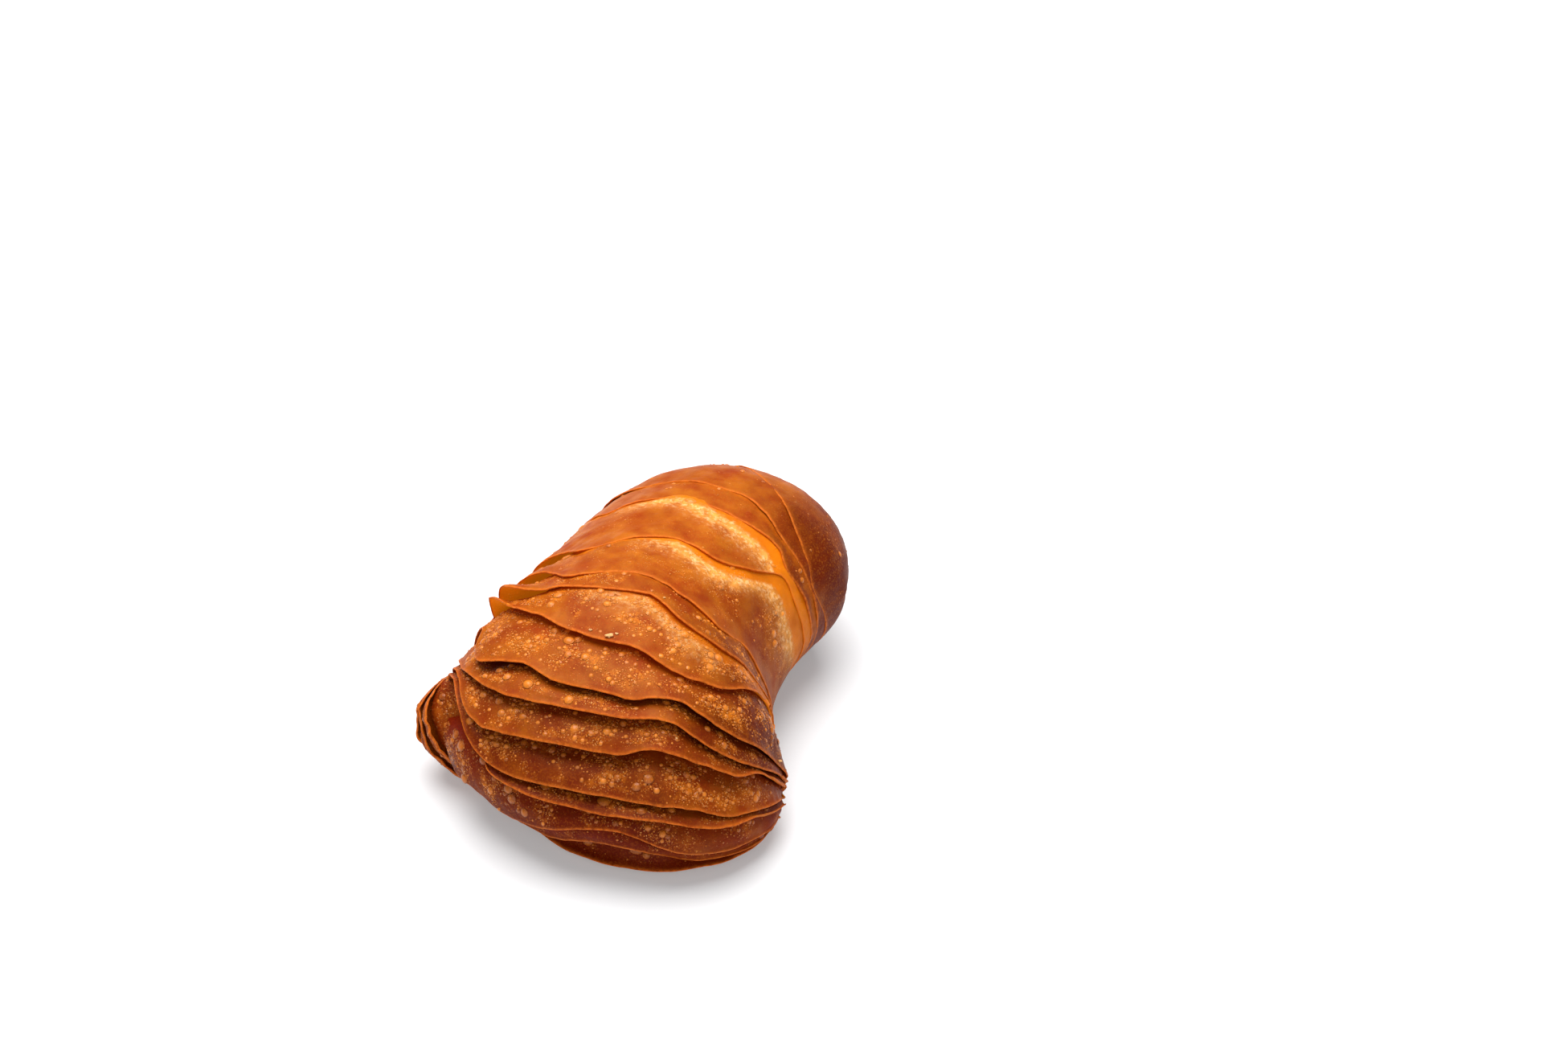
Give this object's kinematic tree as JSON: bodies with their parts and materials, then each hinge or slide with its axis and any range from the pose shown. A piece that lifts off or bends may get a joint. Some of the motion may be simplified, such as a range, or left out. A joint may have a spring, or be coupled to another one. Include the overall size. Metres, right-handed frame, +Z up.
{
  "type": "lobster tail pastry",
  "caption": "Baked shell of thin overlapping dough leaves: a round barrel at one end, a wide fan of crisp leaves at the other, with a folded lobe beside the fan.",
  "frame": {"origin": "bottom centre of the bounding box, on the surface that the pastry rests on", "axes": "+Z up; +Y along the length, from the wide fan of open leaves towards the round barrel end; +X to the right when looking from the fan end"},
  "size_m": [0.0944, 0.127, 0.0566],
  "materials": {
    "crust": "satin"
  },
  "bodies": {
    "root": {"pastry": "crust"}
  },
  "joints": []
}
